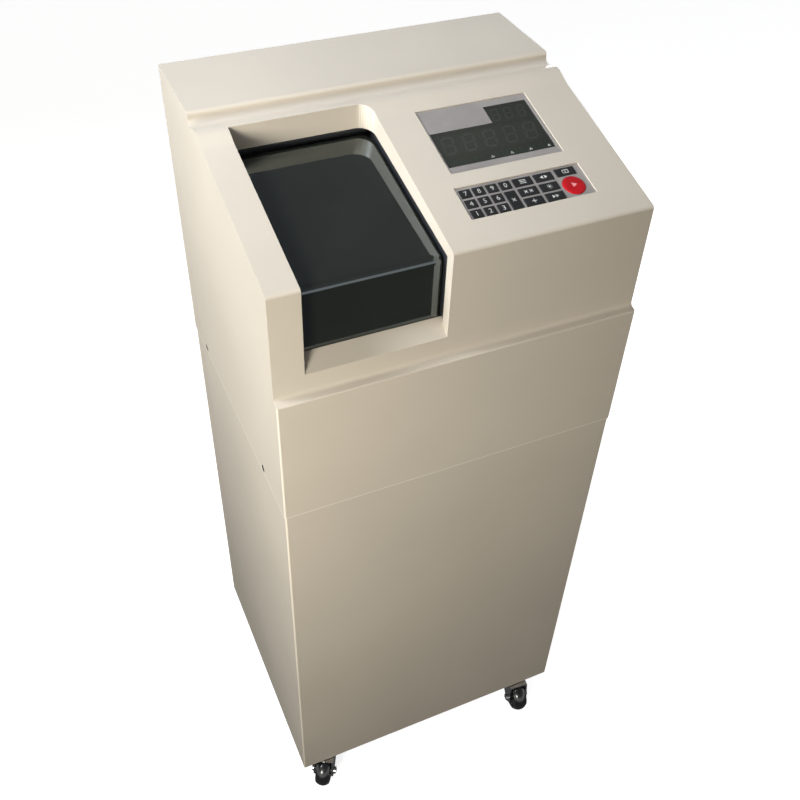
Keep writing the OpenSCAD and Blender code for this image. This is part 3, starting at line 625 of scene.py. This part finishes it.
def arc(centre, radius, start, end, steps):
    """Points on an arc, in degrees, for a lathe profile."""
    turns = [math.radians(start + (end - start) * i / steps) for i in range(steps + 1)]
    return [(centre[0] + radius * math.cos(t), centre[1] + radius * math.sin(t)) for t in turns]


# ---------------------------------------------------------------- display and keypad

DIGIT_KEYS = tuple("key_%d" % i for i in range(10))
DIGIT_HEIGHT = 5.6
EIGHTH = math.pi / 4
SYMBOLS = {
    "key_batch": [bar(-3.6, y - 0.5, 3.6, y + 0.5) for y in (-2.1, 0, 2.1)],
    "key_mode": [arrow(-0.9, 2.2, -3.6), arrow(0.9, 2.2, 3.6)],
    "key_preset": [bar(-3.6, 1.6, 3.6, 2.4), bar(-3.6, -2.4, 3.6, -1.6), bar(-3.6, -1.6, -2.8, 1.6),
                   bar(2.8, -1.6, 3.6, 1.6), disc(0, 0, 0.8)],
    "key_clear": [plus(0, 0, 2.7, 0.45, EIGHTH)],
    "key_all_clear": [plus(-3.1, 0, 2.4, 0.42, EIGHTH), plus(3.1, 0, 2.4, 0.42, EIGHTH)],
    "key_uv": [disc(0, 0, 1.3)] + [
        [(c * r - s * w, s * r + c * w) for r, w in ((1.9, -0.28), (3.0, -0.28), (3.0, 0.28), (1.9, 0.28))]
        for c, s in [(math.cos(i * EIGHTH), math.sin(i * EIGHTH)) for i in range(8)]],
    "key_add": [plus(0, 0, 2.8, 0.45)],
    "key_speed": [arrow(-3.6, 2.2, 3.4), arrow(0.4, 2.2, 3.4)],
    "start_button": [arrow(-2.4, 3.2, 5.6)],
}


def build_keys():
    for key in DIGIT_KEYS + tuple(SYMBOLS):
        lo, hi = slope_span(key)
        top = hi[2]
        if key == "start_button":
            build_start_button(key, lo, hi)
        else:
            def near_top(middle, edge):
                return middle.dot(SLOPE_N) > top - 1.4 * MM
            softened(key, key + "_cap", 0.45 * MM, 3, near_top)
        face = slope_frame((lo[0] + hi[0]) / 2, (lo[1] + hi[1]) / 2, top - SUNK)
        ink = RED_INK if key == "start_button" else LEGEND_INK
        if key in DIGIT_KEYS:
            digit(key + "_legend", key[-1], DIGIT_HEIGHT, face, key, SLOTS[key], ink)
        else:
            prisms(key + "_legend", SYMBOLS[key], LEGEND_RISE, face, key, SLOTS[key], ink)


def build_start_button(key, lo, hi):
    """A domed button whose rim is rounded down into the plate."""
    radius = (hi[0] - lo[0]) / 2 / MM - 0.6
    tall = (hi[2] - lo[2]) / MM
    dome = [(0, tall), (radius * 0.45, tall - 0.02), (radius * 0.7, tall - 0.10), (radius * 0.86, tall - 0.28),
            (radius * 0.94, tall - 0.55), (radius * 0.985, tall - 0.95), (radius, tall - 1.4)]
    profile = dome + [(radius, 0.9), (radius + 0.6, 0.85), (radius + 0.6, 0.05), (radius + 0.5, 0), (0, 0)]
    place = slope_frame((lo[0] + hi[0]) / 2, (lo[1] + hi[1]) / 2, lo[2]).to_translation()
    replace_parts(lathe("start_dome", profile, place, SLOPE_N, key, "red_button"), key)


def seven_segments(x, y, width, height, thick):
    """The seven six-cornered bars of one slanted digit centred at (x, y)."""
    gap, slant = 0.25, math.tan(math.radians(10))
    half = thick / 2
    flat = (width - thick) / 2 - gap
    tall = (height - thick) / 4 - gap
    across = [(-flat, 0), (-flat + half, -half), (flat - half, -half),
              (flat, 0), (flat - half, half), (-flat + half, half)]
    upright = [(0, -tall), (half, -tall + half), (half, tall - half),
               (0, tall), (-half, tall - half), (-half, -tall + half)]
    side, level = (width - thick) / 2, (height - thick) / 2
    spots = [(across, 0, level), (across, 0, 0), (across, 0, -level)]
    spots += [(upright, sx * side, sy * level / 2) for sx in (-1, 1) for sy in (-1, 1)]
    return [[(x + cx + px + (cy + py) * slant, y + cy + py) for px, py in shape] for shape, cx, cy in spots]


# A digit's share of its module's width and height, its bars' share of its own width, and
# their thickness in millimetres
DIGIT_SHARE = (0.64, 0.86)
BAR_SHARE = 0.2
BAR_RISE = 0.08
# The four marks' places as shares of the window's width, and their height above its lower edge
MARK_SHARES = (0.43, 0.61, 0.79, 0.965)
MARK_UP = 2.6 * MM


def build_display():
    softened("display_plate", "display_plate_skin", 0.25 * MM, 2)
    softened("keypad_plate", "keypad_plate_skin", 0.2 * MM, 2)
    softened("display_window", "window_lens", 0.3 * MM, 3)
    modules = softened("led_digits", "led_modules", 0.2 * MM, 2)
    modules.data.materials[0] = MODULE_FACE
    bars = []
    spans = loose_spans("led_digits")
    for lo, hi in spans:
        centre = ((lo[0] + hi[0]) / 2 / MM, (lo[1] + hi[1]) / 2 / MM)
        width, height = [(hi[i] - lo[i]) / MM * DIGIT_SHARE[i] for i in range(2)]
        bars += seven_segments(*centre, width, height, width * BAR_SHARE)
    top = max(hi[2] for lo, hi in spans)
    prisms("led_segments", bars, BAR_RISE, slope_frame(0, 0, top - SUNK), "chassis", "black_plastic", SEGMENT)
    lo, hi = slope_span("display_window")
    marks = []
    for share in MARK_SHARES:
        x = (lo[0] + (hi[0] - lo[0]) * share) / MM - 2
        marks += [bar(x - 1.9, 0, x + 1.9, 0.8), [(x - 1.2, 1.5), (x + 1.2, 1.5), (x, 3.1)]]
    face = slope_frame(0, lo[1] + MARK_UP, hi[2] - SUNK)
    prisms("window_marks", marks, LEGEND_RISE, face, "chassis", "smoked_lens", INDICATOR)


def loose_spans(node):
    """The slope-axis spans of each separate solid in a node."""
    axes = (SLOPE_U, SLOPE_V, SLOPE_N)
    return [[[pick(v.dot(a) for v in part) for a in axes] for pick in (min, max)] for part in loose_parts(node)]


def loose_parts(node):
    """Corner positions of each separate solid in a node."""
    bm = clean_copy(node)
    seen, parts = set(), []
    for start in bm.verts:
        if start in seen:
            continue
        seen.add(start)
        heap, part = [start], []
        while heap:
            vert = heap.pop()
            part.append(vert.co.copy())
            for edge in vert.link_edges:
                other = edge.other_vert(vert)
                if other not in seen:
                    seen.add(other)
                    heap.append(other)
        parts.append(part)
    bm.free()
    return parts


# ---------------------------------------------------------------- screws, casters and the rest

# A screw's cross recess: arm length and half width, depth, and height of the cutting shape
RECESS = (2.4, 0.42)
RECESS_DEPTH = 0.5
CUTTER_HEIGHT = 2


def build_screws():
    """Screw heads with cross recesses, cut into a softened copy of the CAD screws."""
    screws = softened("casing_screws", "screw_heads", 0.28 * MM, 2)
    bm = bmesh.new()
    for part in loose_parts("casing_screws"):
        lo, hi = (Vector([f(v[i] for v in part) for i in range(3)]) for f in (min, max))
        middle, size = (lo + hi) / 2, hi - lo
        if size.x > size.y:
            out = Vector((1 if middle.x > 0 else -1, 0, 0))
        else:
            out = Vector((0, 1, 0))
        tip = middle + Vector([out[i] * size[i] / 2 for i in range(3)])
        turn = Matrix.Translation(tip - out * (RECESS_DEPTH * MM)) @ facing(out)
        # Each cross stands at its own angle, set by where the screw is
        corners = plus(0, 0, *RECESS, middle.x * 40 + middle.y * 30)
        add_prism(bm, corners, CUTTER_HEIGHT, turn)
    cutter = new_object("recess_cutter", bm)
    cut = screws.modifiers.new("recess", "BOOLEAN")
    cut.operation, cut.solver, cut.object = "DIFFERENCE", "EXACT", cutter
    apply_modifiers(screws)
    bpy.data.objects.remove(cutter)


# A wheel's half width, radius, crown radius, bore radius and its hub's half length, in millimetres
WHEEL = (10.5, 25.0, 14.0, 3.05, 12.05)


def build_wheel(corner):
    """A crowned black wheel with rounded shoulders, a dished side and a hub."""
    wheel = "wheel_" + corner
    lo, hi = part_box(wheel)
    half, radius, crown, bore, end = WHEEL
    span = math.degrees(math.asin((half - 1.0) / crown))
    tread = arc((radius - crown, 0), crown, -span, span, 24)
    shoulder = tread[0][0]
    side = [(8, half - 4.2), (12, half - 3.9), (15.8, half - 3.2), (17.6, half - 1.4), (18.6, half - 0.35)]
    side += [(19.6, half), (shoulder - 0.4, half - 0.35)]
    hub = [(bore, end), (6.6, end), (6.95, end - 0.35), (7.2, half - 3.6)]
    near = [(r, -h) for r, h in hub + side]
    far = [(r, h) for r, h in (hub + side)[::-1]]
    profile = near + tread + far + [(bore, -end)]
    axis = joints["roll_" + corner]["axis"]
    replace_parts(lathe("tyre_" + corner, profile, (lo + hi) / 2, axis, wheel, "caster_tyre", steps=96), wheel)


def build_casters():
    softened("caster_plates", "caster_plate_skin", 0.4 * MM, 2)
    for corner in ("front_left", "front_right", "rear_left", "rear_right"):
        softened("fork_" + corner, "fork_skin_" + corner, 0.5 * MM, 3)
        build_wheel(corner)


def build_inside():
    softened("cover", "cover_sheet", 0.8 * MM, 3)
    for node, radius in INSIDE_ROUNDING.items():
        softened(node, node + "_skin", radius * MM, 2)


INSIDE_ROUNDING = {
    "base_pan": 0.3, "bay_liner": 0.4, "cover_bracket": 0.4, "cover_pin": 0.3, "turret": 0.4, "note_clamp": 0.4,
    "spindle_1": 0.4, "spindle_2": 0.4, "spindle_3": 0.4, "spindle_4": 0.4, "turret_pulley": 0.3,
    "motor_pulley": 0.3, "drive_belt": 0.2, "drive_bracket": 0.4, "drive_motor": 1.0, "vacuum_pump": 1.5,
    "control_board": 0.2, "panel_board": 0.2, "power_supply": 0.8, "power_inlet": 0.4, "power_switch": 0.6,
    "vacuum_hose": 0.3,
}


paint_cad()
build_casing()
build_cabinet()
build_display()
build_keys()
build_screws()
build_casters()
build_inside()
aim_camera()
light_studio()
lay_floor()

bpy.context.view_layer.update()
